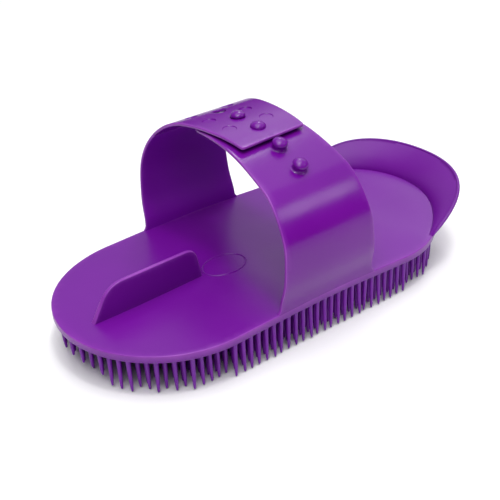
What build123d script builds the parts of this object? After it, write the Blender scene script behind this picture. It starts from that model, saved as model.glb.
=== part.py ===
from build123d import *
import math
import os

# Hand-held plastic curry comb: a toothed oval plate under a two-part hand strap.
# +X runs along the plate to the toe with the raised lip, +Z is up, and the origin is the tip of
# the middle tooth, so the comb stands on Z = 0. Near is -Y, far is +Y. Millimetres.

os.makedirs("parts", exist_ok=True)

# Plate
PLATE_WIDTH = 90.0
PLATE_LENGTH = 175.6
PLATE_THICKNESS = 3.0
TOOTH_LENGTH = 14.6
RIM_ROUND = 0.7
BOW = 1.7
BOW_REACH = 70.0
TOE_START = 54.0
TOE_RISE = 4.8
END_RADIUS = PLATE_WIDTH / 2
END_CENTRE = PLATE_LENGTH / 2 - END_RADIUS
UNDERSIDE = TOOTH_LENGTH
TOP = UNDERSIDE + PLATE_THICKNESS

# Cutting blocks reach past the comb; spare stock runs past a face that is trimmed or let in
PAST_ALL = 200.0
PAST_END = PLATE_LENGTH / 2 + 10
SPARE = 1.0

# Teeth
ROWS = 25
ROW_PITCH = 3.55
TOOTH_PITCH = 3.6
TOOTH_EDGE = 2.3
STRIP_DEPTH = 0.8
STRIP_GAP = 0.05
POCKET_EDGE = 0.9
TIP_RADIUS = 0.3
TIP_ROUND_RADIUS = 0.48
TIP_ROUND_HEIGHT = 0.3
NECK_RADIUS = 0.72
NECK_HEIGHT = 3.0
ROOT_RADIUS = 0.88

# Straps
STRAP_THICKNESS = 1.2
NEAR_ROOT_WIDTH = 47.5
FAR_ROOT_WIDTH = 49.2
ROOT_FLOOR = 1.2
RUNNING_GAP = 0.3
HINGE_RISE = 1.6
HINGE_Y = PLATE_WIDTH / 2 - STRAP_THICKNESS / 2
HINGE_Z = TOP + BOW + HINGE_RISE
FLAP_HINGE_Y = 28.8
FLAP_END_Y = -14.9
FLAP_CORNER = 1.3
NEAR_TIP_Y = 17.5
NEAR_CORNER = 8.0
NEAR_HALF_WIDTH = 23.24
FAR_HALF_WIDTH = 24.1
WAIST_TAPER = 0.0722
WAIST_HEIGHT = 60.0

# Outer lines of the two straps, as (y, height over the plate's top)
NEAR_POINTS = (
    (-45.0, BOW + HINGE_RISE), (-46.6, 11.0), (-47.0, 20.4), (-46.1, 28.4), (-43.4, 34.2),
    (-39.2, 39.8), (-34.8, 43.8), (-28.9, 46.9), (-19.4, 50.8), (-9.6, 53.6), (0.0, 54.8),
    (9.0, 55.0), (NEAR_TIP_Y + SPARE, 54.3),
)
FAR_POINTS = (
    (45.0, BOW + HINGE_RISE), (46.7, 11.5), (47.6, 20.0), (47.4, 28.0), (46.0, 34.5),
    (43.2, 40.5), (37.4, 47.1), (30.7, 51.9), (22.0, 55.3), (13.4, 56.6), (2.6, 57.0),
    (-9.6, 56.1), (FLAP_END_Y - SPARE, 55.1),
)
NEAR_END_RUN = (1, -0.1)
FAR_END_RUN = (-1, -0.1)
LINE_STEPS = 24
BEND_SHARE = 0.45
HALVINGS = 40

# Half plans of the two straps over the hand, as (half width, y)
NEAR_PLAN = ((26.0, -60.0), (26.0, -40.0), (20.1, -36.0), (16.8, NEAR_TIP_Y))
FLAP_PLAN = ((24.0, 40.0), (20.3, 36.0), (15.2, FLAP_END_Y))

# Studs, the holes they pass through and the blind dimples beside them
STUD_Y = (7.3, -5.0, -17.4, -28.8)
STEM_RADIUS = 2.5
HEAD_RADIUS = 3.0
STUD_HEIGHT = 4.9
STEM_TOP = 2.5
HEAD_EDGE_LOW = 2.8
HEAD_EDGE_TOP = 3.4
DOME_RADIUS = 3.75
STUD_DEPTH = 0.7
HOLE_RADIUS = 2.8
HOLE_PITCH = 12.25
HOLE_CUT = 4.0
DIMPLE_DEPTH = 0.45
DIMPLE_X = 9.3
DIMPLE_Y = -0.1
DIMPLE_ROWS = 3

# Toe lip
LIP_ANGLE = 65.0
LIP_HEIGHT = 15.2
LIP_FLARE = 0.74
LIP_EDGE = 1.4
LIP_EDGE_DROP = 0.35
LIP_FOOT = 1.6
LIP_FALL = 3.6
LIP_BEND_OUT = 0.30
LIP_BEND_UP = 0.48
LIP_WALL_OUT = 2.2
LIP_WALL_DOWN = 0.6
LIP_SECTIONS = 13
CREASE_RADIUS = 43.5

# Finger rib, its outline as (x, height over the plate's top), and badge
RIB_THICKNESS = 2.0
RIB_Y = -1.5
RIB_OUTLINE = ((-78.2, -SPARE), (-69.5, 13.3), (-30.2, 14.1), (-28.0, -SPARE))
RIB_HEEL_ROUND = 12.0
RIB_TOE_ROUND = 5.5
BADGE_X = -17.0
BADGE_Y = -2.0
BADGE_HALF_LENGTH = 10.0
BADGE_HALF_WIDTH = 7.6
BADGE_RING = 0.9
BADGE_HEIGHT = 0.35


def ease(share):
    """Smooth step from 0 to 1 with level ends."""
    share = min(max(share, 0), 1)
    return share * share * (3 - 2 * share)


def bow_height(x):
    """Height of the plate's underside over its level heel: bowed middle, toe curled up."""
    middle = ease(1 + x / BOW_REACH) if x < 0 else ease(1 - x / TOE_START)
    toe = ease((x - TOE_START) / (PLATE_LENGTH / 2 - TOE_START))
    return BOW * middle + TOE_RISE * toe


def bowed_line(height):
    """Side line of the plate at one height, from past the heel to past the toe."""
    breaks = (-PAST_END, -BOW_REACH, 0, TOE_START, PLATE_LENGTH / 2, PAST_END)
    for start, end in zip(breaks, breaks[1:]):
        places = [start + (end - start) * i / 4 for i in range(5)]
        points = [(x, height + bow_height(x)) for x in places]
        if points[0][1] == points[-1][1]:
            Line(points[0], points[-1])
        else:
            Spline(*points, tangents=((1, 0), (1, 0)))


def bowed_slab(low, high, half_width, y=0.0):
    """A sheet that follows the plate's bow between two heights."""
    with BuildSketch(Plane.XZ.offset(-y)) as section:
        with BuildLine():
            bowed_line(low)
            bowed_line(high)
            Line((-PAST_END, low), (-PAST_END, high))
            Line((PAST_END, low + TOE_RISE), (PAST_END, high + TOE_RISE))
        make_face()
    extrude(section.sketch, amount=half_width, both=True)


def oval_cut(inset):
    """Keep only what lies inside the plate's oval outline."""
    with BuildSketch(Plane.XY.offset(-SPARE)) as oval:
        SlotCenterToCenter(2 * END_CENTRE, PLATE_WIDTH - 2 * inset)
    extrude(oval.sketch, amount=PAST_ALL, mode=Mode.INTERSECT)


def save(part, label):
    """Name a finished piece and write its file."""
    part.label = label
    export_step(part, f"parts/{label}.step")


# Strap roots: the bases of the two straps, let into the plate's rim
def strap_root(side, width):
    """Strap base on one side of the plate, from inside the rim to just under the hinge."""
    high = HINGE_Z - STRAP_THICKNESS / 2 - RUNNING_GAP
    with BuildPart() as root:
        bowed_slab(UNDERSIDE + ROOT_FLOOR, high + SPARE, PLATE_WIDTH)
        with BuildSketch(Plane.XY) as foot:
            with Locations((0, side * HINGE_Y)):
                Rectangle(width, STRAP_THICKNESS)
        extrude(foot.sketch, amount=high, mode=Mode.INTERSECT)
    return root.part


near_strap_root = strap_root(-1, NEAR_ROOT_WIDTH)
far_strap_root = strap_root(1, FAR_ROOT_WIDTH)


# Base plate: an oval sheet with a shallow pocket underneath for the tooth strips
with BuildPart() as pocket:
    bowed_slab(UNDERSIDE - SPARE, UNDERSIDE + STRIP_DEPTH, PLATE_WIDTH)
    oval_cut(POCKET_EDGE)

with BuildPart() as base_plate:
    bowed_slab(UNDERSIDE, TOP, PLATE_WIDTH)
    oval_cut(0)
    rim = base_plate.edges().filter_by(Axis.Z, reverse=True).filter_by(Axis.Y, reverse=True)
    fillet(rim, RIM_ROUND)
    add(pocket.part, mode=Mode.SUBTRACT)
    add([near_strap_root, far_strap_root], mode=Mode.SUBTRACT)


# Tooth rows: each is a thin strip under the plate with its teeth hanging from it
def tooth(x, y):
    """One tapered tooth, its tip on Z = 0 and its root inside the strip."""
    top = UNDERSIDE + bow_height(x) + STRIP_DEPTH / 2
    with BuildPart() as peg:
        with BuildSketch(Plane.XZ):
            with BuildLine():
                Polyline(
                    (0, 0),
                    (TIP_RADIUS, 0),
                    (TIP_ROUND_RADIUS, TIP_ROUND_HEIGHT),
                    (NECK_RADIUS, NECK_HEIGHT),
                    (ROOT_RADIUS, top),
                    (0, top),
                    close=True,
                )
            make_face()
        revolve(axis=Axis.Z)
    return Pos(x, y, 0) * peg.part


def tooth_row(index):
    """One row of teeth, counted from the near edge."""
    y = (index - (ROWS + 1) / 2) * ROW_PITCH
    shift = TOOTH_PITCH / 2 if index % 2 == 0 else 0
    reach = END_CENTRE + math.sqrt((END_RADIUS - TOOTH_EDGE) ** 2 - y**2)
    steps = int(reach // TOOTH_PITCH) + 1
    places = [shift + i * TOOTH_PITCH for i in range(-steps, steps + 1)]
    teeth = [tooth(x, y) for x in places if abs(x) <= reach]
    with BuildPart() as row:
        bowed_slab(UNDERSIDE, UNDERSIDE + STRIP_DEPTH, ROW_PITCH / 2 - STRIP_GAP / 2, y)
        oval_cut(POCKET_EDGE + STRIP_GAP)
        add(teeth)
    return row.part


# Finger rib: a thin upright fin on the heel half of the plate
with BuildPart() as finger_rib:
    with BuildSketch(Plane.XZ.offset(-RIB_Y)) as rib_face:
        with BuildLine():
            Polyline(*[(x, TOP + z) for x, z in RIB_OUTLINE], close=True)
        make_face()
        fillet(rib_face.vertices().sort_by(Axis.Y)[-1], RIB_TOE_ROUND)
        fillet(rib_face.vertices().sort_by(Axis.X)[1], RIB_HEEL_ROUND)
    extrude(amount=RIB_THICKNESS / 2, both=True)
    add(base_plate.part, mode=Mode.SUBTRACT)


# Blank badge: a plain raised oval ring on the plate, inside the hand loop
with BuildPart() as blank_badge:
    bowed_slab(TOP - SPARE, TOP + BADGE_HEIGHT, PLATE_WIDTH)
    with BuildSketch(Plane.XY):
        with Locations((BADGE_X, BADGE_Y)):
            Ellipse(BADGE_HALF_LENGTH, BADGE_HALF_WIDTH)
            Ellipse(
                BADGE_HALF_LENGTH - BADGE_RING, BADGE_HALF_WIDTH - BADGE_RING, mode=Mode.SUBTRACT
            )
    extrude(amount=PAST_ALL, mode=Mode.INTERSECT)
    add(base_plate.part, mode=Mode.SUBTRACT)


# Toe lip: a flared wall round the toe, lofted through radial sections
def lip_section(angle):
    """Section of the lip wall in the radial plane at one angle from the toe."""
    turn = math.radians(angle)
    fall = 1 - (abs(angle) / (LIP_ANGLE + 1)) ** LIP_FALL
    height = TOP + LIP_HEIGHT * fall
    crease = TOP + bow_height(END_CENTRE + CREASE_RADIUS * math.cos(turn))
    foot = crease - LIP_FOOT
    edge = END_RADIUS + LIP_FLARE * LIP_HEIGHT * fall
    inner = edge - LIP_EDGE
    shoulder = height - LIP_EDGE_DROP
    bend = CREASE_RADIUS + LIP_BEND_OUT * (inner - CREASE_RADIUS)
    middle = crease + LIP_BEND_UP * (height - crease)
    wall = (bend + LIP_WALL_OUT, middle - LIP_WALL_DOWN)
    outward = (math.cos(turn), math.sin(turn), 0)
    plane = Plane((END_CENTRE, 0, 0), x_dir=outward, z_dir=(math.sin(turn), -math.cos(turn), 0))
    with BuildSketch(plane) as section:
        with BuildLine():
            Line((CREASE_RADIUS, foot), (CREASE_RADIUS, crease))
            Spline((CREASE_RADIUS, crease), (bend, middle), (inner, height))
            Line((inner, height), (edge, shoulder))
            Spline((edge, shoulder), wall, (END_RADIUS, foot))
            Line((END_RADIUS, foot), (CREASE_RADIUS, foot))
        make_face()
    return section.sketch


lip_angles = [LIP_ANGLE * (2 * i / (LIP_SECTIONS - 1) - 1) for i in range(LIP_SECTIONS)]
with BuildPart() as toe_lip:
    for lip_angle in lip_angles:
        add(lip_section(lip_angle))
    loft()
    add(base_plate.part, mode=Mode.SUBTRACT)


# Strap sheets
def offset_line(line, distance):
    """A smooth line at a steady distance to the right of another, seen along its run."""
    points = []
    for i in range(LINE_STEPS + 1):
        along = line % (i / LINE_STEPS)
        points.append(line @ (i / LINE_STEPS) + Vector(along.Y, -along.X) * distance)
    return Spline(*points)


def sheet_face(points, end_run, turn):
    """Section of a bent strap sheet in the YZ plane; turn is +1 for near, -1 for far."""
    with BuildSketch(Plane.YZ) as section:
        with BuildLine():
            outer = Spline(*[(y, TOP + z) for y, z in points], tangents=((0, 1), end_run))
            inner = offset_line(outer, STRAP_THICKNESS * turn)
            Line(outer @ 0, inner @ 0)
            Line(outer @ 1, inner @ 1)
        make_face()
    return section.sketch, outer


def at_y(line, y, turn):
    """Frame on a strap's outer surface over its centre line, its own +Z pointing outwards."""
    low, high = BEND_SHARE, 1.0
    for _ in range(HALVINGS):
        middle = (low + high) / 2
        if ((line @ middle).X - y) * turn < 0:
            low = middle
        else:
            high = middle
    point = line @ middle
    along = line % middle
    outward = Vector(0, -along.Y, along.X) * turn
    return Plane((0, point.X, point.Y), x_dir=(1, 0, 0), z_dir=outward)


def taper_cut(half_width):
    """Keep a strap inside its side edges, which close in steadily with height."""
    waist = half_width - WAIST_TAPER * WAIST_HEIGHT
    outline = ((half_width, TOP), (waist, TOP + WAIST_HEIGHT))
    mirrored = [(-x, z) for x, z in reversed(outline)]
    with BuildSketch(Plane.XZ) as front:
        with BuildLine():
            Polyline(*outline, *mirrored, close=True)
        make_face()
    extrude(front.sketch, amount=PAST_ALL, both=True, mode=Mode.INTERSECT)


def barrel(y, half_width):
    """Round edge of a strap along its hinge line, as wide as the strap there."""
    with Locations((0, y, HINGE_Z)):
        reach = half_width - WAIST_TAPER * (BOW + HINGE_RISE)
        Cylinder(STRAP_THICKNESS / 2, 2 * reach, rotation=(0, 90, 0))


def plan_cut(outline, end, corner):
    """Keep a strap inside a mirrored half plan, its two corners at one end rounded."""
    mirrored = [(-x, y) for x, y in reversed(outline)]
    with BuildSketch(Plane.XY) as plan:
        with BuildLine():
            Polyline(*outline, *mirrored, close=True)
        make_face()
        fillet(plan.vertices().group_by(Axis.Y)[end], corner)
    extrude(plan.sketch, amount=PAST_ALL, mode=Mode.INTERSECT)


# Near strap: rises from the near edge, turns over the hand and ends under the flap
near_face, near_line = sheet_face(NEAR_POINTS, NEAR_END_RUN, 1)
stud_planes = [at_y(near_line, y, 1) for y in STUD_Y]

with BuildPart() as near_strap:
    extrude(near_face, amount=NEAR_ROOT_WIDTH, both=True)
    taper_cut(NEAR_HALF_WIDTH)
    plan_cut(NEAR_PLAN, -1, NEAR_CORNER)
    barrel(-HINGE_Y, NEAR_HALF_WIDTH)
    for plane in stud_planes:
        with BuildSketch(plane.offset(-STUD_DEPTH)) as seat:
            Circle(STEM_RADIUS)
        extrude(seat.sketch, amount=STUD_DEPTH + SPARE, mode=Mode.SUBTRACT)


# Snap studs: mushroom pegs standing square on the near strap
def snap_stud(plane):
    """One stud, its stem let into the strap and its domed head above it."""
    dome_side = STUD_HEIGHT - DOME_RADIUS + math.sqrt(DOME_RADIUS**2 - (HEAD_RADIUS / 2) ** 2)
    head_edge = (HEAD_RADIUS, HEAD_EDGE_TOP)
    with BuildPart() as stud:
        with BuildSketch(Plane.XZ):
            with BuildLine():
                Polyline(
                    (0, STUD_HEIGHT),
                    (0, -STUD_DEPTH),
                    (STEM_RADIUS, -STUD_DEPTH),
                    (STEM_RADIUS, STEM_TOP),
                    (HEAD_RADIUS, HEAD_EDGE_LOW),
                    head_edge,
                )
                ThreePointArc(head_edge, (HEAD_RADIUS / 2, dome_side), (0, STUD_HEIGHT))
            make_face()
        revolve(axis=Axis.Z)
    return plane.location * stud.part


# Far strap and flap: one bent line, parted at the flap's hinge
far_face, far_line = sheet_face(FAR_POINTS, FAR_END_RUN, -1)
flap_hinge = at_y(far_line, FLAP_HINGE_Y, -1).offset(-STRAP_THICKNESS / 2)
parting = Plane(flap_hinge.origin, x_dir=(1, 0, 0), z_dir=flap_hinge.y_dir)

with BuildPart() as far_strap:
    extrude(far_face, amount=FAR_ROOT_WIDTH, both=True)
    taper_cut(FAR_HALF_WIDTH)
    with BuildSketch(parting) as beyond:
        Rectangle(PAST_ALL, PAST_ALL)
    extrude(beyond.sketch, amount=-PAST_ALL, mode=Mode.SUBTRACT)
    with Locations(flap_hinge):
        Cylinder(
            STRAP_THICKNESS / 2 + RUNNING_GAP, PAST_ALL, rotation=(0, 90, 0), mode=Mode.SUBTRACT
        )
    barrel(HINGE_Y, FAR_HALF_WIDTH)


def round_cuts(planes, places, depth):
    """Round cuts into the flap from above, on each plane at each place across it."""
    for plane in planes:
        with BuildSketch(plane.offset(-depth)) as cut:
            with Locations(*[(x, 0) for x in places]):
                Circle(HOLE_RADIUS)
        extrude(cut.sketch, amount=depth + HOLE_CUT, mode=Mode.SUBTRACT)


dimple_planes = [at_y(far_line, DIMPLE_Y + i * HOLE_PITCH, -1) for i in range(DIMPLE_ROWS)]
spare_hole = at_y(far_line, STUD_Y[1] + 2 * HOLE_PITCH, -1)

with BuildPart() as strap_flap:
    extrude(far_face, amount=FAR_ROOT_WIDTH, both=True)
    with BuildSketch(parting) as behind:
        Rectangle(PAST_ALL, PAST_ALL)
    extrude(behind.sketch, amount=PAST_ALL, mode=Mode.SUBTRACT)
    with Locations(flap_hinge):
        Cylinder(STRAP_THICKNESS / 2, 2 * FAR_HALF_WIDTH, rotation=(0, 90, 0))
    taper_cut(FAR_HALF_WIDTH)
    plan_cut(FLAP_PLAN, 0, FLAP_CORNER)
    round_cuts([stud_planes[0], stud_planes[1], spare_hole], [0], HOLE_CUT)
    round_cuts(dimple_planes, [-DIMPLE_X, DIMPLE_X], DIMPLE_DEPTH)


save(base_plate.part, "base_plate")
save(toe_lip.part, "toe_lip")
save(finger_rib.part, "finger_rib")
save(blank_badge.part, "blank_badge")
save(near_strap_root, "near_strap_root")
save(far_strap_root, "far_strap_root")
save(near_strap.part, "near_strap")
save(far_strap.part, "far_strap")
save(strap_flap.part, "strap_flap")
for number, plane in enumerate(stud_planes, 1):
    save(snap_stud(plane), f"snap_stud_{number}")
for number in range(1, ROWS + 1):
    save(tooth_row(number), f"tooth_row_{number:02d}")
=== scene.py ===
import math
import random

import bmesh
import bpy
import numpy as np
from mathutils import Matrix, Vector
from mathutils.geometry import delaunay_2d_cdt


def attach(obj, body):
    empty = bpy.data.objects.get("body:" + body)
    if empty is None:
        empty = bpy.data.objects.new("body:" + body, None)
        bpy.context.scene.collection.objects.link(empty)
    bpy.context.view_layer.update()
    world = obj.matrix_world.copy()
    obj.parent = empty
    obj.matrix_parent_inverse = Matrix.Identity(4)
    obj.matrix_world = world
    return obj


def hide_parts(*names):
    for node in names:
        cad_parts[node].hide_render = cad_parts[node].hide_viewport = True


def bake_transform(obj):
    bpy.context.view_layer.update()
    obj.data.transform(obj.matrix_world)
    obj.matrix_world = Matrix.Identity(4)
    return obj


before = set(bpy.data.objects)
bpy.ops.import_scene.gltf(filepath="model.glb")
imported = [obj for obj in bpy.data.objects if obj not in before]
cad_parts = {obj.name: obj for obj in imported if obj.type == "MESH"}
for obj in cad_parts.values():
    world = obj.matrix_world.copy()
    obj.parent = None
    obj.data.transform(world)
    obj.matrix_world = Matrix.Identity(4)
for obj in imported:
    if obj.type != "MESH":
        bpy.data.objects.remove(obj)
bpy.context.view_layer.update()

MM = 0.001

# Plate, in millimetres as in part.py
HALF_WIDTH = 45.0
HALF_LENGTH = 87.8
END_CENTRE = HALF_LENGTH - HALF_WIDTH
UNDERSIDE = 14.6
THICKNESS = 3.0
TOP = UNDERSIDE + THICKNESS
BOW = 1.7
BOW_REACH = 70.0
TOE_START = 54.0
TOE_RISE = 4.8
PLATE_ROUNDING = 0.38
OUTLINE_STEP = 1.5
OUTLINE_ARC_POINTS = 96

# Toe lip, its angles in degrees either way from +X
LIP_ANGLE = 65.0
LIP_HEIGHT = 15.2
LIP_FALL = 3.6
LIP_FLARE = 0.74
LIP_EDGE = 1.4
LIP_STATIONS = 121
CREASE_RADIUS = 43.5
INNER_FACE_STEPS = 18
OUTER_FACE_STEPS = 11
LIP_EDGE_STEPS = 8

# Finger rib: where its foot and top begin and end along the plate
RIB_Y = -1.5
RIB_HEIGHT = 14.1
RIB_FOOT = (-78.2, -28.0)
RIB_TOP = (-69.5, -30.2)
RIB_TOP_FALL = 0.8
RIB_CORNERS = (12.0, 5.5)
RIB_SHEET = 2.0
RIB_FOOT_HALF = 1.15
RIB_TAPER = 0.35

# Blank badge
RING_CENTRE = (-17.0, -2.0)
RING_INNER = (9.1, 6.7)
RING_WIDTH = 0.9
RING_SINK = 0.15
RING_RISE = 0.5

# Straps: points on their outer lines as (y, height over the plate's level top)
STRAP = 1.2
STRAP_ROUNDING = 0.45
HINGE_Y = HALF_WIDTH - STRAP / 2
HINGE_Z = TOP + BOW + 1.6
BEND_BELOW = 1.5
BEND_ABOVE = 9.0
BELOW_FOOT = 4.5
NEAR_HALF_WIDTH = 23.24
FAR_HALF_WIDTH = 24.1
WAIST_TAPER = 0.0722
NEAR_TOP_HALF_WIDTH = 17.9
NEAR_TOP_TAPER = 0.061
FAR_TOP_HALF_WIDTH = 17.0
FAR_TOP_TAPER = 0.1
TOP_REACH = 36.0
LEAN = 1.2
LEAN_START = 30.0
LEAN_REACH = 22.0
FOOT_FILLET = 1.4
FAR_FOOT_FILLET = 1.2
SIDE_STATIONS = 48
NEAR_TIP_Y = 17.5
NEAR_CORNER = 8.0
NEAR_POINTS = [
    (-45.0, 3.3), (-46.6, 11.0), (-47.0, 20.4), (-46.1, 28.4), (-43.4, 34.2), (-39.2, 39.8),
    (-34.8, 43.8), (-28.9, 46.9), (-19.4, 50.8), (-9.6, 53.6), (0.0, 54.8), (9.0, 55.0),
    (NEAR_TIP_Y, 54.4),
]
FAR_POINTS = [
    (45.0, 3.3), (46.7, 11.5), (47.6, 20.0), (47.4, 28.0), (46.0, 34.5), (43.2, 40.5),
    (37.4, 47.1), (30.7, 51.9), (22.0, 55.3), (13.4, 56.6), (2.6, 57.0), (-9.6, 56.1),
    (-15.9, 55.1),
]

# Flap
PARTING_Y = 41.0
FLAP_END_Y = -14.9
FLAP_SKEW = 0.8
FLAP_CORNER = 1.3
FLAP_ROUNDING = 0.4
FLAP_HINGE_Y = 28.8
FLAP_BEND = 5.0
HOLE_RADIUS = 2.8
HOLE_PITCH = 12.25
HOLE_POINTS = 40
DIMPLE_X = 8.9
DIMPLE_Y = -0.1
DIMPLE_MIDDLES = (-1.2, -1.9, -1.9)
DIMPLE_SHARES = ((0.55, 0.6), (0.9, 1.1), (1.0, 1.0))
DIMPLE_DEPTH = 0.45
DENT_INSETS = (0.0, 0.08, 0.16, 0.24)

# Studs: the profile is (radius, height over the near strap)
STUD_Y = (7.3, -5.0, -17.4, -28.8)
STUD_OFFSET = -0.5
STUD_AXIS_RISE = 1.8
STUD_TILT = 0.012
STUD_SEED = 70
STUD_AROUND = 48
STUD_PROFILE = [
    (0.0, -0.7), (3.3, -0.7), (3.25, 0.0), (2.85, 0.12), (2.6, 0.35), (2.5, 0.7), (2.48, 1.3),
    (2.5, 1.7), (2.62, 1.86), (2.85, 2.0), (3.0, 2.24), (3.03, 2.54), (2.9, 2.94), (2.55, 3.36),
    (2.05, 3.7), (1.45, 3.96), (0.8, 4.12), (0.3, 4.19), (0.0, 4.2),
]

# Teeth: the rings are (radius, height over the tip)
ROWS = 25
ROW_PITCH = 3.55
ROW_SEED = 500
TOOTH_PITCH = 3.6
TOOTH_EDGE = 2.3
TOOTH_AROUND = 10
ROOT_SINK = 0.3
TOOTH_LENGTH = UNDERSIDE + ROOT_SINK
TIP_DOME = 0.02
TIP_SPREAD = 0.10
TIP_FADE = 15.0
TOOTH_RINGS = [
    (0.16, 0.0), (0.34, 0.10), (0.44, 0.45), (0.56, 1.6), (0.72, 4.0), (0.82, 8.0), (0.92, 12.5),
    (1.15, 14.2),
]
LEAN_ALONG = 0.22
LEAN_ACROSS = 0.20
END_LEAN = 0.4
# Short teeth at the heel's edge, between two turns in degrees round its centre
SHORT_BY = 4.5
SHORT_FROM = 0.86
SHORT_FADE = 0.06
SHORT_TURNS = (150, 206)
SHORT_TURN_FADES = (30, 5)

# Colours: each plastic is blotched between a base and a deep colour, with a painted pale highlight
# along its rims
BASE = (0.144, 0.0026, 0.268)
DEEP = (0.126, 0.0018, 0.240)
# Painted highlight colour, mixed along the rims in place of light caught by their rounded edges
RIM_HIGHLIGHT = (0.330, 0.0600, 0.470)
STRAP_BASE = (0.151, 0.0030, 0.274)
STRAP_DEEP = (0.133, 0.0020, 0.247)
TOOTH_BASE = (0.185, 0.0040, 0.360)
TOOTH_DEEP = (0.150, 0.0024, 0.310)
# Lighter copy of the strap colour for the whole far strap: painted light that brightens its shaded
# inner face
LIT_STRAP_BASE = (0.205, 0.0015, 0.400)
WHITE = (1, 1, 1, 1)
PAPER = (0.93, 0.93, 0.93, 1)
PAPER_ROUGHNESS = 0.32

# Roughness, lowest and highest
GLASSY = (0.10, 0.15)
SHINY = (0.17, 0.262)
MATT = (0.285, 0.37)
DULL = (0.34, 0.44)
PLASTIC_IOR = 1.40

# Sky strengths
SKY_LOW = 0.05
SKY_BEHIND = 0.72
SKY_FRONT = 0.62
SKY_TOP = 2.6
SKY_HIGH = 0.34
SKY_HEEL_SHARE = 0.40

# Lights: azimuth and elevation in degrees, distance, height aimed at and size in metres, power
LIGHTS = {
    "key": (-100, 78, 1.1, 0.03, 0.14, 2.4),
    "back_key": (40, 52, 1.1, 0.03, 0.14, 1.0),
    "fill": (-135, 54, 1.1, 0.03, 0.60, 3.9),
    "softbox": (32, 47, 1.3, 0.03, 0.95, 1.9),
    "side": (-46, 37, 1.2, 0.05, 0.22, 0.60),
}

# Floor, in metres
FLOOR = 3.0
FLOOR_DROP = 0.0004

# Camera, its target and distance in millimetres
AZIMUTH, ELEVATION, ROLL = math.radians(-36.88), math.radians(29.51), math.radians(-2.95)
TARGET = np.array([-0.53, 2.21, 17.6])
CAMERA_DISTANCE = 405.16
LENS = 70.82
SENSOR = 36.0
CLIP_START = 0.01

# Meshing of a sheet
RIM_STEPS = 5
RIM_START = 0.3
GRID_CLEARANCE = 0.6
MERGE = 1e-6
CORNER_STEPS = 8


# ---------------------------------------------------------------- curves and outlines
def ease(share):
    """Smooth step from 0 to 1."""
    share = min(max(share, 0.0), 1.0)
    return share * share * (3 - 2 * share)


def quadratic(a, b, c, t):
    """Point on a curve from a to c that b pulls."""
    return (1 - t) ** 2 * a + 2 * t * (1 - t) * b + t**2 * c


def cubic(a, b, c, d, t):
    """Point on a curve from a to d that b and c pull."""
    return (1 - t) ** 3 * a + 3 * t * (1 - t) ** 2 * b + 3 * t * t * (1 - t) * c + t**3 * d


def bow_height(x):
    """Height of the plate over its level heel."""
    middle = ease(1 + x / BOW_REACH) if x < 0 else ease(1 - x / TOE_START)
    return BOW * middle + TOE_RISE * ease((x - TOE_START) / (HALF_LENGTH - TOE_START))


class Line:
    """Smooth line through points in a plane, read by length along it."""

    COUNT = 1200
    LOWER_SHARE = 0.45

    def __init__(self, points, start, end):
        p = np.array(points, float)
        chord = np.concatenate([[0], np.cumsum(np.linalg.norm(np.diff(p, axis=0), axis=1))])
        n = len(p)
        a = np.zeros((n, n))
        b = np.zeros((n, 2))
        a[0, 0] = a[-1, -1] = 1
        b[0] = np.array(start) / np.linalg.norm(start)
        b[-1] = np.array(end) / np.linalg.norm(end)
        h = np.diff(chord)
        for i in range(1, n - 1):
            a[i, i - 1], a[i, i], a[i, i + 1] = 1 / h[i - 1], 2 / h[i - 1] + 2 / h[i], 1 / h[i]
            b[i] = 3 * ((p[i] - p[i - 1]) / h[i - 1] ** 2 + (p[i + 1] - p[i]) / h[i] ** 2)
        slope = np.linalg.solve(a, b)
        t = np.linspace(0, chord[-1], self.COUNT)
        k = np.clip(np.searchsorted(chord, t, "right") - 1, 0, n - 2)
        u = ((t - chord[k]) / h[k])[:, None]
        hk = h[k][:, None]
        self.xy = ((2 * u**3 - 3 * u**2 + 1) * p[k] + (u**3 - 2 * u**2 + u) * hk * slope[k]
                   + (3 * u**2 - 2 * u**3) * p[k + 1] + (u**3 - u**2) * hk * slope[k + 1])
        step = np.linalg.norm(np.diff(self.xy, axis=0), axis=1)
        self.s = np.concatenate([[0], np.cumsum(step)])
        self.tangent = np.gradient(self.xy, self.s, axis=0)
        self.tangent /= np.linalg.norm(self.tangent, axis=1)[:, None]
        self.length = self.s[-1]

    def at(self, s):
        """Point and unit tangent at one length; the line runs on straight past its ends."""
        held = min(max(s, 0.0), self.length)
        point = np.array([np.interp(held, self.s, self.xy[:, i]) for i in (0, 1)])
        along = np.array([np.interp(held, self.s, self.tangent[:, i]) for i in (0, 1)])
        along /= np.linalg.norm(along)
        return point + along * (s - held), along

    def find(self, y):
        """Length along the line where it crosses one y, past its lower part."""
        keep = self.s > self.LOWER_SHARE * self.length
        return float(self.s[keep][np.argmin(abs(self.xy[keep, 0] - y))])


def circle(cx, cy, radius):
    """A round loop, clockwise as a hole is."""
    turns = [-2 * math.pi * i / HOLE_POINTS for i in range(HOLE_POINTS)]
    return [(cx + radius * math.cos(a), cy + radius * math.sin(a)) for a in turns]


def inside(loop, point):
    """Whether a closed loop holds a point."""
    x, y = point
    p = np.asarray(loop)
    q = np.roll(p, -1, 0)
    crosses = (p[:, 1] > y) != (q[:, 1] > y)
    with np.errstate(divide="ignore", invalid="ignore"):
        crossing = p[:, 0] + (y - p[:, 1]) * (q[:, 0] - p[:, 0]) / (q[:, 1] - p[:, 1])
    return bool(np.sum(crosses & (x < crossing)) % 2)


def inward(loop):
    """Unit normals into the material of a loop that keeps its material on the left."""
    p = np.array(loop, float)
    run = np.roll(p, -1, 0) - np.roll(p, 1, 0)
    run /= np.linalg.norm(run, axis=1)[:, None]
    return np.stack([-run[:, 1], run[:, 0]], 1)


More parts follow.
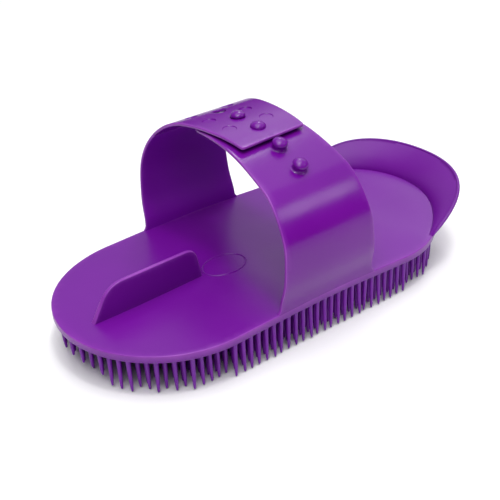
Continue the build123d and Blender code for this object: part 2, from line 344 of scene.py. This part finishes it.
def rounded(points, radii, spacing):
    """Closed anticlockwise loop with rounded corners and even steps along its sides."""
    p = np.array(points, float)
    n = len(p)
    path = []
    for i in range(n):
        a, b, c = p[i - 1], p[i], p[(i + 1) % n]
        to_a, to_c = (a - b) / np.linalg.norm(a - b), (c - b) / np.linalg.norm(c - b)
        half = math.acos(np.clip(to_a @ to_c, -1, 1)) / 2
        cut = radii[i] / math.tan(half) if radii[i] else 0
        if cut < 1e-6 or half > math.radians(88):
            path.append(b)
            continue
        for k in range(CORNER_STEPS + 1):
            path.append(quadratic(b + to_a * cut, b, b + to_c * cut, k / CORNER_STEPS))
    loop = []
    for a, b in zip(path, path[1:] + path[:1]):
        count = max(1, round(np.linalg.norm(b - a) / spacing))
        loop += [tuple(a + (b - a) * i / count) for i in range(count)]
    return loop


# ---------------------------------------------------------------- meshes
def make(name, verts, faces, body, replaced, material, angle=38, edge=None):
    """A finished piece from vertices in millimetres; edge says how much each lies on a rim."""
    mesh = bpy.data.meshes.new(name)
    mesh.from_pydata([tuple(c * MM for c in v) for v in verts], [], faces)
    mesh.validate()
    if edge is not None:
        mesh.attributes.new("edge", "FLOAT", "POINT").data.foreach_set("value", edge)
    fair = bmesh.new()
    fair.from_mesh(mesh)
    bmesh.ops.recalc_face_normals(fair, faces=fair.faces)
    fair.to_mesh(mesh)
    fair.free()
    obj = bpy.data.objects.new(name, mesh)
    bpy.context.scene.collection.objects.link(obj)
    for polygon in mesh.polygons:
        polygon.use_smooth = True
    mesh.set_sharp_from_angle(angle=math.radians(angle))
    mesh.materials.append(material)
    if isinstance(body, str):
        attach(obj, body)
    else:
        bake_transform(obj)
    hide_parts(*replaced)
    return obj


def band(low, high, count):
    """Faces between two closed rings of points, from the number of each ring's first point."""
    following = [(i, (i + 1) % count) for i in range(count)]
    return [(low + i, low + k, high + k, high + i) for i, k in following]


def fan(tip, ring, count):
    """Faces from one point to a closed ring of points."""
    return [(tip, ring + (i + 1) % count, ring + i) for i in range(count)]


def dent_height(u, v, dents):
    """Height of a sheet's upper face at one place, below 0 in a dimple."""
    for cu, cv, depth in dents:
        inward_share = (HOLE_RADIUS - math.hypot(u - cu, v - cv)) / DENT_INSETS[-1]
        if inward_share > 0:
            return -depth * ease(inward_share)
    return 0.0


def rim_rings(loop, depth, rounding):
    """Loops from a sheet's upper face down its rounded side to its lower face, with heights."""
    points, normals = np.array(loop, float), inward(loop)
    turns = [math.pi / 2 * i / RIM_STEPS for i in range(RIM_STEPS + 1)]
    upper = [(points + normals * rounding * (1 - math.sin(a)), -rounding * (1 - math.cos(a)))
             for a in turns]
    lower = [(points + normals * rounding * (1 - math.cos(a)), -depth + rounding * (1 - math.sin(a)))
             for a in turns]
    return upper + lower


def filled(tops, walls, spacing):
    """Triangles over a flat outline with holes. Walls are more loops that the triangles keep to.
    Gives the points, the triangles, and the number that each point of the loops has now."""
    outer, holes = tops[0], tops[1:]
    lines = tops + [np.array(wall) for wall in walls]
    on_lines = np.concatenate(lines)
    coords, edges = [], []
    for line in lines:
        first = len(coords)
        coords += [tuple(c) for c in line]
        edges += [(first + i, first + (i + 1) % len(line)) for i in range(len(line))]
    low, high = outer.min(0), outer.max(0)
    cells_v = np.arange(low[1] + spacing / 2, high[1], spacing)
    for j, u in enumerate(np.arange(low[0] + spacing / 2, high[0], spacing)):
        for v in cells_v + (spacing / 2 if j % 2 else 0):
            if np.min(np.hypot(on_lines[:, 0] - u, on_lines[:, 1] - v)) > spacing * GRID_CLEARANCE:
                coords.append((u, v))
    out, _, found, origin, *_ = delaunay_2d_cdt([Vector(c) for c in coords], edges, [], 2, MERGE)
    where = {source: i for i, sources in enumerate(origin) for source in sources}
    flat = [tuple(c) for c in out]
    triangles = []
    for corners in found:
        centre = np.mean([flat[i] for i in corners], 0)
        if inside(outer, centre) and not any(inside(hole, centre) for hole in holes):
            triangles.append(tuple(corners))
    return flat, triangles, where


def sheet(loops, place, depth, rounding, spacing, dents=(), wall_edge=1.0):
    """Rounded sheet: loops in a plane (outline first, then holes clockwise), put in space by
    place(u, v, h) with h from 0 on the upper face to -depth on the lower one. Dents are round
    dimples in the upper face, as (u, v, depth). Gives vertices, faces and how much each vertex
    lies on the outline's rim, where those below the upper rounding count as wall_edge."""
    rings = [rim_rings(loop, depth, rounding) for loop in loops]
    walls = [circle(u, v, HOLE_RADIUS - inset) for u, v, _ in dents for inset in DENT_INSETS]
    flat, triangles, where = filled([ring[0][0] for ring in rings], walls, spacing)
    below = len(flat)
    verts = [place(u, v, dent_height(u, v, dents)) for u, v in flat]
    verts += [place(u, v, -depth) for u, v in flat]
    faces = triangles + [tuple(below + i for i in reversed(corners)) for corners in triangles]
    weights = [0.0] * len(verts)
    first = 0
    for number, ring in enumerate(rings):
        count = len(ring[0][0])
        on_outline = 1.0 if number == 0 else 0.0
        rows = [[where[first + i] for i in range(count)]]
        for step, (points, h) in enumerate(ring[1:-1], 1):
            rows.append(list(range(len(verts), len(verts) + count)))
            verts += [place(u, v, h) for u, v in points]
            weights += [on_outline * (1.0 if step <= RIM_STEPS else wall_edge)] * count
        rows.append([below + i for i in rows[0]])
        for upper, lower in zip(rows, rows[1:]):
            for i in range(count):
                k = (i + 1) % count
                faces.append((upper[i], lower[i], lower[k], upper[k]))
        for i in rows[0] + rows[-1]:
            weights[i] = RIM_START * on_outline
        first += count
    return verts, faces, weights


# ---------------------------------------------------------------- shader nodes
def ramp(tree, value, start, end, low, high):
    """Smooth step: low up to the start, high past the end."""
    node = tree.nodes.new("ShaderNodeMapRange")
    node.interpolation_type = "SMOOTHSTEP"
    for key, number in (("From Min", start), ("From Max", end), ("To Min", low), ("To Max", high)):
        node.inputs[key].default_value = number
    tree.links.new(value, node.inputs["Value"])
    return node.outputs["Result"]


def product(tree, a, b):
    """Product of two values."""
    node = tree.nodes.new("ShaderNodeMath")
    node.operation = "MULTIPLY"
    tree.links.new(a, node.inputs[0])
    tree.links.new(b, node.inputs[1])
    return node.outputs[0]


def noise(tree, place, size, detail, roughness=0.5):
    """Cloudy value between 0 and 1."""
    node = tree.nodes.new("ShaderNodeTexNoise")
    node.inputs["Scale"].default_value = size
    node.inputs["Detail"].default_value = detail
    node.inputs["Roughness"].default_value = roughness
    tree.links.new(place, node.inputs["Vector"])
    return node.outputs["Fac"]


def colour_mix(tree, factor, a, b):
    """Mix of two colours, each a tuple or a node's output."""
    node = tree.nodes.new("ShaderNodeMix")
    node.data_type = "RGBA"
    tree.links.new(factor, node.inputs["Factor"])
    input_a, input_b, result = node.inputs[6], node.inputs[7], node.outputs[2]
    for socket, colour in ((input_a, a), (input_b, b)):
        if isinstance(colour, tuple):
            socket.default_value = (*colour, 1)
        else:
            tree.links.new(colour, socket)
    return result


def bump(tree, height, strength, distance, under=None):
    """Surface relief, laid over another one."""
    node = tree.nodes.new("ShaderNodeBump")
    node.inputs["Strength"].default_value = strength
    node.inputs["Distance"].default_value = distance
    tree.links.new(height, node.inputs["Height"])
    if under is not None:
        tree.links.new(under, node.inputs["Normal"])
    return node.outputs["Normal"]


# ---------------------------------------------------------------- materials
def plastic(name, base, deep, rough, edge_highlight, scale=1.0):
    """Moulded soft plastic: blotchy colour, uneven gloss, fine grain and a painted pale highlight
    along its rims.
    """
    material = bpy.data.materials.new(name)
    material.use_nodes = True
    tree = material.node_tree
    shader = tree.nodes["Principled BSDF"]
    shader.inputs["IOR"].default_value = PLASTIC_IOR
    place = tree.nodes.new("ShaderNodeTexCoord").outputs["Object"]
    blotch = noise(tree, place, 28 * scale, detail=1, roughness=0.4)
    colour = colour_mix(tree, ramp(tree, blotch, 0.2, 0.8, 0.0, 1.0), deep, base)
    # Painted highlight: rims marked by the edge attribute are mixed towards a pale colour, patchily,
    # in place of light caught by the rounded edges
    edge = tree.nodes.new("ShaderNodeAttribute")
    edge.attribute_name = "edge"
    painted_rim_highlight = ramp(tree, noise(tree, place, 70 * scale, detail=2), 0.25, 0.75, 0.45 * edge_highlight, edge_highlight)
    colour = colour_mix(tree, product(tree, edge.outputs["Fac"], painted_rim_highlight), colour, RIM_HIGHLIGHT)
    tree.links.new(colour, shader.inputs["Base Color"])
    gloss = noise(tree, place, 50 * scale, detail=2)
    tree.links.new(ramp(tree, gloss, 0.2, 0.8, *rough), shader.inputs["Roughness"])
    grain = noise(tree, place, 900 * scale, detail=3, roughness=0.6)
    ripple = noise(tree, place, 45 * scale, detail=2)
    relief = bump(tree, grain, strength=0.12, distance=0.00012)
    relief = bump(tree, ripple, strength=0.25, distance=0.0006, under=relief)
    tree.links.new(relief, shader.inputs["Normal"])
    return material


plate_plastic = plastic("plate_plastic", BASE, DEEP, rough=MATT, edge_highlight=0.7)
strap_plastic = plastic("strap_plastic", STRAP_BASE, STRAP_DEEP, rough=SHINY, edge_highlight=0.8)
stud_plastic = plastic("stud_plastic", STRAP_BASE, STRAP_DEEP, rough=GLASSY, edge_highlight=0.1)
tooth_plastic = plastic("tooth_plastic", TOOTH_BASE, TOOTH_DEEP, rough=DULL, edge_highlight=0.2, scale=1.6)
# Lit copy of the strap plastic for the far strap: painted light in place of bounce light inside the
# loop
lit_strap_plastic = plastic("lit_strap_plastic", LIT_STRAP_BASE, STRAP_BASE, rough=DULL, edge_highlight=0.8)
badge_plastic = plastic("badge_plastic", BASE, DEEP, rough=MATT, edge_highlight=0.6)


# ---------------------------------------------------------------- plate
def oval():
    """The plate's outline, anticlockwise."""
    side = np.arange(-END_CENTRE, END_CENTRE, OUTLINE_STEP)
    arc = np.linspace(-math.pi / 2, math.pi / 2, OUTLINE_ARC_POINTS)
    r = HALF_WIDTH
    loop = [(x, -r) for x in side]
    loop += [(END_CENTRE + r * math.cos(a), r * math.sin(a)) for a in arc]
    loop += [(-x, r) for x in side[1:]]
    loop += [(-END_CENTRE - r * math.cos(a), -r * math.sin(a)) for a in arc[:-1]]
    return loop


def on_plate(x, y, h):
    """Placing function for the plate, which follows its bow."""
    return x, y, TOP + bow_height(x) + h


def plate():
    """The bowed oval plate."""
    verts, faces, weights = sheet([oval()], on_plate, THICKNESS, PLATE_ROUNDING, 2.2, wall_edge=0.0)
    make("plate", verts, faces, "comb", ["base_plate"], plate_plastic, edge=weights)


# ---------------------------------------------------------------- toe lip
def lip_profile(angle):
    """Closed section of the lip, as (radius, z) from its foot up the inner face and back down."""
    fall = max(1 - (abs(angle) / (LIP_ANGLE + 1)) ** LIP_FALL, 0.0)
    crease = TOP + bow_height(END_CENTRE + CREASE_RADIUS * math.cos(math.radians(angle)))
    top = max(TOP + LIP_HEIGHT * fall, crease + 0.05)
    rise = top - crease
    outer = HALF_WIDTH + LIP_FLARE * LIP_HEIGHT * fall
    edge_width = min(LIP_EDGE, 0.5 + rise * 0.3)
    inner = outer - edge_width
    start = CREASE_RADIUS - min(0.5, 0.1 + rise * 0.05)
    points = [(start - 0.2, crease - 1.2), (start, crease - 0.05)]

    foot = np.array((start, crease))
    low_pull = np.array((CREASE_RADIUS + 0.2, crease + 0.30 * rise))
    high_pull = np.array((CREASE_RADIUS + 0.40 * (inner - CREASE_RADIUS), crease + 0.66 * rise))
    shoulder = np.array((inner, top - 0.1))
    for i in range(1, INNER_FACE_STEPS + 1):
        points.append(tuple(cubic(foot, low_pull, high_pull, shoulder, i / INNER_FACE_STEPS)))

    r = edge_width / 2
    crown = min(r, rise * 0.3)
    for i in range(1, LIP_EDGE_STEPS):
        a = math.pi - math.pi * i / LIP_EDGE_STEPS
        points.append((inner + r + r * math.cos(a), top - 0.1 + crown * math.sin(a) * 0.9))

    brink = np.array((outer, top - 0.15))
    points.append(tuple(brink))
    pull = np.array((HALF_WIDTH + 0.12 * (outer - HALF_WIDTH), crease + 0.45 * rise))
    outer_foot = np.array((HALF_WIDTH - 0.02, crease - 1.6))
    for i in range(1, OUTER_FACE_STEPS + 1):
        points.append(tuple(quadratic(brink, pull, outer_foot, i / OUTER_FACE_STEPS)))
    return points


def toe_lip():
    """The lip, lofted round the toe."""
    verts, faces = [], []
    for i in range(LIP_STATIONS):
        angle = LIP_ANGLE * (2 * i / (LIP_STATIONS - 1) - 1)
        a = math.radians(angle)
        for radius, z in lip_profile(angle):
            verts.append((END_CENTRE + radius * math.cos(a), radius * math.sin(a), z))
    n = len(verts) // LIP_STATIONS
    last = n * (LIP_STATIONS - 1)
    for first in range(0, last, n):
        faces += band(first, first + n, n)
    faces.append(tuple(range(n))[::-1])
    faces.append(tuple(range(last, last + n)))
    make("toe_lip_wall", verts, faces, "comb", ["toe_lip"], plate_plastic, angle=50)


# ---------------------------------------------------------------- finger rib
def on_rib(x, z, h):
    """Placing function for the rib, which is thicker at its foot."""
    share = min(max((z - (TOP + bow_height(x))) / RIB_HEIGHT, 0), 1)
    half = RIB_FOOT_HALF - RIB_TAPER * share
    return x, RIB_Y + (h + RIB_SHEET / 2) * -half, z


def finger_rib():
    """The upright fin on the heel half, its foot sunk in the plate."""
    corners = [(RIB_FOOT[0], TOP - 1.2), (RIB_FOOT[1], TOP + 0.2),
               (RIB_TOP[1], TOP + RIB_HEIGHT), (RIB_TOP[0], TOP + RIB_HEIGHT - RIB_TOP_FALL)]
    outline = rounded(corners, [0, 0, RIB_CORNERS[1], RIB_CORNERS[0]], spacing=0.9)
    verts, faces, weights = sheet([outline], on_rib, RIB_SHEET, 0.5, 1.3)
    make("finger_fin", verts, faces, "comb", ["finger_rib"], plate_plastic, edge=weights)


# ---------------------------------------------------------------- blank badge
def badge():
    """Plain raised oval ring with a softly rounded crown."""
    verts, faces = [], []
    around, across = 96, 8
    n = across + 1
    for i in range(around):
        a = 2 * math.pi * i / around
        for j in range(n):
            t = j / across
            x = RING_CENTRE[0] + (RING_INNER[0] + RING_WIDTH * t) * math.cos(a)
            y = RING_CENTRE[1] + (RING_INNER[1] + RING_WIDTH * t) * math.sin(a)
            h = -RING_SINK + RING_RISE * math.sin(math.pi * t) ** 0.6
            verts.append((x, y, TOP + bow_height(x) + h))
    for i in range(around):
        faces += band(i * n, (i + 1) % around * n, n)
    make("plain_oval_ring", verts, faces, "comb", ["blank_badge"], badge_plastic, angle=60)


# ---------------------------------------------------------------- straps
near_line = Line([(y, TOP + z) for y, z in NEAR_POINTS], (0, 1), (1, -0.1))
far_line = Line([(y, TOP + z) for y, z in FAR_POINTS], (0, 1), (-1, -0.1))


def half_width(y, z, near):
    """Half of a strap's width at one place on its outer line."""
    waist = (NEAR_HALF_WIDTH if near else FAR_HALF_WIDTH) - WAIST_TAPER * (z - TOP)
    if near:
        return min(waist, NEAR_TOP_HALF_WIDTH - NEAR_TOP_TAPER * y) if y > -TOP_REACH else waist
    return min(waist, FAR_TOP_HALF_WIDTH + FAR_TOP_TAPER * y) if y < TOP_REACH else waist


def lean(z):
    """How far the strap leans towards the toe at one height, where its top sits a little askew."""
    return LEAN * ease((z - TOP - LEAN_START) / LEAN_REACH)


def on_strap(line, turn):
    """Placing function for a strap sheet: u across, v along its outer line."""

    def place(u, v, h):
        (y, z), (ty, tz) = line.at(v)
        return u + lean(z), y - tz * turn * h, z + ty * turn * h

    return place


def strap_outline(line, start, end, near, corner, skew=0.0):
    """Outline of a strap between two lengths, with a fillet where its sides meet the plate; its
    end may be cut a little askew."""
    fillet = FOOT_FILLET if near else FAR_FOOT_FILLET
    side = []
    for s in [*np.linspace(start, end - corner - skew - 0.5, SIDE_STATIONS), end]:
        (y, z), _ = line.at(s)
        below = min(max(fillet - (z - TOP - BOW), 0.0), fillet)
        flare = fillet - math.sqrt(fillet**2 - below**2)
        side.append((half_width(y, z, near) + flare, s))
    right = side[:-1] + [(side[-1][0], end - skew)]
    left = [(-side[-1][0], end + skew)] + [(-x, s) for x, s in reversed(side[:-1])]
    radii = [0] * (2 * len(side))
    radii[len(side) - 1] = radii[len(side)] = corner
    return rounded(right + left, radii, spacing=1.1)


def foot_bend(y):
    """Where the bend at a strap's foot starts and ends, in metres."""
    return (0, y * MM, (HINGE_Z - BEND_BELOW) * MM), (0, y * MM, (HINGE_Z + BEND_ABOVE) * MM)


def near_strap():
    """The near half of the hand strap, from inside the plate's rim to its tip under the flap."""
    outline = strap_outline(near_line, -BELOW_FOOT, near_line.length, True, NEAR_CORNER)
    verts, faces, weights = sheet([outline], on_strap(near_line, 1), STRAP, STRAP_ROUNDING, 1.6)
    make("near_strap_sheet", verts, faces, ("comb", "near_strap", *foot_bend(-HINGE_Y)),
         ["near_strap", "near_strap_root"], strap_plastic, edge=weights)


def far_strap():
    """The far half, from inside the plate's rim to where the flap begins."""
    outline = strap_outline(far_line, -BELOW_FOOT, far_line.find(PARTING_Y), False, 0)
    verts, faces, weights = sheet([outline], on_strap(far_line, -1), STRAP, STRAP_ROUNDING, 1.6)
    make("far_strap_sheet", verts, faces, ("comb", "far_strap", *foot_bend(HINGE_Y)),
         ["far_strap", "far_strap_root"], lit_strap_plastic, edge=weights)


def above_stud(y):
    """Place along the far line where the axis of a stud on the near strap passes."""
    (py, _), (_, tz) = near_line.at(near_line.find(y))
    return far_line.find(py - tz * STUD_AXIS_RISE)


def flap_dimples():
    """The six blind dimples, two to a row, as (u, v, depth)."""
    dimples = []
    for row, (middle, shares) in enumerate(zip(DIMPLE_MIDDLES, DIMPLE_SHARES)):
        along = far_line.find(DIMPLE_Y + row * HOLE_PITCH)
        for side, share in zip((-1, 1), shares):
            dimples.append((middle + side * DIMPLE_X, along, DIMPLE_DEPTH * share))
    return dimples


def flap():
    """The flap, with two holes over studs and a spare one."""
    end = far_line.find(FLAP_END_Y + FLAP_SKEW)
    outline = strap_outline(far_line, far_line.find(PARTING_Y), end, False, FLAP_CORNER, FLAP_SKEW)
    holes = [above_stud(STUD_Y[1]), above_stud(STUD_Y[0]), far_line.find(STUD_Y[1] + 2 * HOLE_PITCH)]
    loops = [outline] + [circle(STUD_OFFSET, s, HOLE_RADIUS) for s in holes]
    verts, faces, weights = sheet(loops, on_strap(far_line, -1), STRAP, FLAP_ROUNDING, 1.3,
                                  dents=flap_dimples())
    (y, z), (ty, tz) = far_line.at(far_line.find(FLAP_HINGE_Y))
    bend_start = (0, (y - FLAP_BEND * ty) * MM, (z - FLAP_BEND * tz) * MM)
    bend_end = (0, (y + FLAP_BEND * ty) * MM, (z + FLAP_BEND * tz) * MM)
    make("flap_sheet", verts, faces, ("far_strap", "flap", bend_start, bend_end),
         ["strap_flap"], strap_plastic, edge=weights)


# ---------------------------------------------------------------- studs
def stud(number, y):
    """A mushroom stud standing nearly square on the near strap."""
    (py, pz), (ty, tz) = near_line.at(near_line.find(y))
    normal = np.array([0.0, -tz, ty])
    along = np.array([0.0, ty, tz])
    across = np.array([1.0, 0.0, 0.0])
    foot = np.array([lean(pz) + STUD_OFFSET, py, pz])
    rng = random.Random(STUD_SEED + number)
    tilt = across * rng.uniform(-STUD_TILT, STUD_TILT) + along * rng.uniform(-STUD_TILT, STUD_TILT)
    axis = normal + tilt
    verts, faces = [], []
    rings = STUD_PROFILE[1:-1]
    for radius, h in rings:
        for i in range(STUD_AROUND):
            a = 2 * math.pi * i / STUD_AROUND
            p = foot + across * radius * math.cos(a) + along * radius * math.sin(a) + axis * h
            verts.append(tuple(p))
    top_ring = (len(rings) - 1) * STUD_AROUND
    for first in range(0, top_ring, STUD_AROUND):
        faces += band(first, first + STUD_AROUND, STUD_AROUND)
    for (_, h), ring in ((STUD_PROFILE[0], 0), (STUD_PROFILE[-1], top_ring)):
        verts.append(tuple(foot + axis * h))
        faces += fan(len(verts) - 1, ring, STUD_AROUND)
    make(f"stud_{number}", verts, faces, "near_strap", [f"snap_stud_{number}"], stud_plastic,
         angle=60)


# ---------------------------------------------------------------- teeth
def shortening(x, y):
    """How much shorter a tooth is at one place: only on one side of the heel's edge."""
    edge_share = math.hypot(x + END_CENTRE, y) / HALF_WIDTH
    if x >= -END_CENTRE or edge_share <= SHORT_FROM:
        return 0.0
    turn = math.degrees(math.atan2(y, x + END_CENTRE)) % 360
    at_edge = ease((edge_share - SHORT_FROM) / SHORT_FADE)
    after_start = ease((turn - SHORT_TURNS[0]) / SHORT_TURN_FADES[0])
    before_end = ease((SHORT_TURNS[1] - turn) / SHORT_TURN_FADES[1])
    return SHORT_BY * at_edge * after_start * before_end


def tooth(x, y, rng, verts, faces):
    """One tapered tooth, leaning a little and thickest at its root."""
    root = UNDERSIDE + bow_height(x) + ROOT_SINK
    end_share = max(0.0, abs(x) - END_CENTRE) / HALF_WIDTH
    lean_x = rng.gauss(0, LEAN_ALONG) - math.copysign(END_LEAN * end_share**1.5, x)
    lean_y = rng.gauss(0, LEAN_ACROSS)
    low = abs(rng.gauss(0, TIP_SPREAD)) + shortening(x, y)
    tip = len(verts)
    verts.append((x + lean_x, y + lean_y, low))
    for number, (radius, h) in enumerate(TOOTH_RINGS):
        z = h * root / TOOTH_LENGTH + low * (1 - h / TIP_FADE)
        bend = (1 - z / root) ** 1.4
        if number == 0:
            z += TIP_DOME
        for i in range(TOOTH_AROUND):
            a = 2 * math.pi * i / TOOTH_AROUND
            verts.append((x + lean_x * bend + radius * math.cos(a),
                          y + lean_y * bend + radius * math.sin(a), z))
    faces += fan(tip, tip + 1, TOOTH_AROUND)
    top_ring = tip + 1 + (len(TOOTH_RINGS) - 1) * TOOTH_AROUND
    for first in range(tip + 1, top_ring, TOOTH_AROUND):
        faces += band(first, first + TOOTH_AROUND, TOOTH_AROUND)
    faces.append(tuple(range(top_ring, top_ring + TOOTH_AROUND)))


def tooth_row(index):
    """One row of teeth along the plate; every other row is set half a pitch along."""
    rng = random.Random(ROW_SEED + index)
    y = (index - (ROWS + 1) / 2) * ROW_PITCH
    shift = TOOTH_PITCH / 2 if index % 2 == 0 else 0
    reach = END_CENTRE + math.sqrt((HALF_WIDTH - TOOTH_EDGE) ** 2 - y**2)
    steps = int(reach // TOOTH_PITCH) + 1
    verts, faces = [], []
    for i in range(-steps, steps + 1):
        x = shift + i * TOOTH_PITCH
        if abs(x) <= reach:
            tooth(x, y, rng, verts, faces)
    make(f"teeth_{index:02d}", verts, faces, "comb", [f"tooth_row_{index:02d}"],
         tooth_plastic, angle=70)


# ---------------------------------------------------------------- stage, light, camera
def paper_floor():
    """White glossy paper under the comb, just below its tips."""
    mesh = bpy.data.meshes.new("floor")
    corners = [(-FLOOR, -FLOOR, 0), (FLOOR, -FLOOR, 0), (FLOOR, FLOOR, 0), (-FLOOR, FLOOR, 0)]
    mesh.from_pydata(corners, [], [(0, 1, 2, 3)])
    material = bpy.data.materials.new("floor_paper")
    material.use_nodes = True
    shader = material.node_tree.nodes["Principled BSDF"]
    shader.inputs["Base Color"].default_value = PAPER
    shader.inputs["Roughness"].default_value = PAPER_ROUGHNESS
    mesh.materials.append(material)
    floor = bpy.data.objects.new("floor", mesh)
    floor.location.z = -FLOOR_DROP
    bpy.context.scene.collection.objects.link(floor)


def studio_sky():
    """Uneven sky light, brighter behind and overhead. The camera sees plain white instead."""
    world = bpy.data.worlds.new("studio")
    bpy.context.scene.world = world
    world.use_nodes = True
    tree = world.node_tree
    nodes, links = tree.nodes, tree.links
    sky = nodes["Background"]
    split = nodes.new("ShaderNodeSeparateXYZ")
    links.new(nodes.new("ShaderNodeTexCoord").outputs["Generated"], split.inputs[0])
    x, y, z = (split.outputs[axis] for axis in "XYZ")

    behind = ramp(tree, z, 0.14, 0.50, SKY_LOW, SKY_BEHIND)
    behind = product(tree, behind, ramp(tree, z, 0.52, 0.68, 1.0, SKY_HIGH / SKY_BEHIND))
    behind = product(tree, behind, ramp(tree, x, -0.60, 0.20, SKY_HEEL_SHARE, 1.0))
    in_front = ramp(tree, z, 0.44, 0.58, SKY_LOW, SKY_FRONT)
    around = nodes.new("ShaderNodeMix")
    links.new(ramp(tree, y, -0.30, 0.30, 0.0, 1.0), around.inputs[0])
    links.new(in_front, around.inputs[2])
    links.new(behind, around.inputs[3])
    total = nodes.new("ShaderNodeMath")
    links.new(around.outputs[0], total.inputs[0])
    links.new(ramp(tree, z, 0.84, 0.96, 0.0, SKY_TOP), total.inputs[1])
    links.new(total.outputs[0], sky.inputs["Strength"])
    sky.inputs["Color"].default_value = WHITE

    backdrop = nodes.new("ShaderNodeBackground")
    backdrop.inputs["Color"].default_value = WHITE
    choice = nodes.new("ShaderNodeMixShader")
    links.new(nodes.new("ShaderNodeLightPath").outputs["Is Camera Ray"], choice.inputs[0])
    links.new(sky.outputs[0], choice.inputs[1])
    links.new(backdrop.outputs[0], choice.inputs[2])
    links.new(choice.outputs[0], nodes["World Output"].inputs["Surface"])


def area_light(name, azimuth, elevation, distance, aim_height, size, power):
    """A square soft light round the object, aimed at a height over its origin."""
    a, e = math.radians(azimuth), math.radians(elevation)
    place = Vector((distance * math.cos(a) * math.cos(e), distance * math.sin(a) * math.cos(e),
                    distance * math.sin(e)))
    data = bpy.data.lights.new(name, "AREA")
    data.size = size
    data.energy = power
    light = bpy.data.objects.new(name, data)
    bpy.context.scene.collection.objects.link(light)
    light.location = place
    light.rotation_mode = "QUATERNION"
    light.rotation_quaternion = (Vector((0, 0, aim_height)) - place).to_track_quat("-Z", "Y")


def studio_camera():
    """Camera over the comb's near side at the heel, rolled a little."""
    level = math.cos(ELEVATION)
    back = np.array([math.sin(AZIMUTH) * level, -math.cos(AZIMUTH) * level, math.sin(ELEVATION)])
    right = np.cross(-back, [0, 0, 1])
    right /= np.linalg.norm(right)
    up = np.cross(right, -back)
    turned_right = right * math.cos(ROLL) + up * math.sin(ROLL)
    turned_up = -right * math.sin(ROLL) + up * math.cos(ROLL)
    data = bpy.data.cameras.new("camera")
    data.sensor_width = SENSOR
    data.lens = LENS
    data.clip_start = CLIP_START
    camera = bpy.data.objects.new("camera", data)
    bpy.context.scene.collection.objects.link(camera)
    rotation = np.stack([turned_right, turned_up, back], 1)
    matrix = Matrix([list(row) for row in rotation]).to_4x4()
    matrix.translation = Vector((TARGET + CAMERA_DISTANCE * back) * MM)
    camera.matrix_world = matrix
    bpy.context.scene.camera = camera


# ---------------------------------------------------------------- the comb and its stage
plate()
toe_lip()
finger_rib()
badge()
near_strap()
far_strap()
flap()
for stud_number, stud_y in enumerate(STUD_Y, 1):
    stud(stud_number, stud_y)
for row_number in range(1, ROWS + 1):
    tooth_row(row_number)

paper_floor()
studio_sky()
for light_name, settings in LIGHTS.items():
    area_light(light_name, *settings)
studio_camera()
bpy.context.scene.view_settings.view_transform = "Standard"
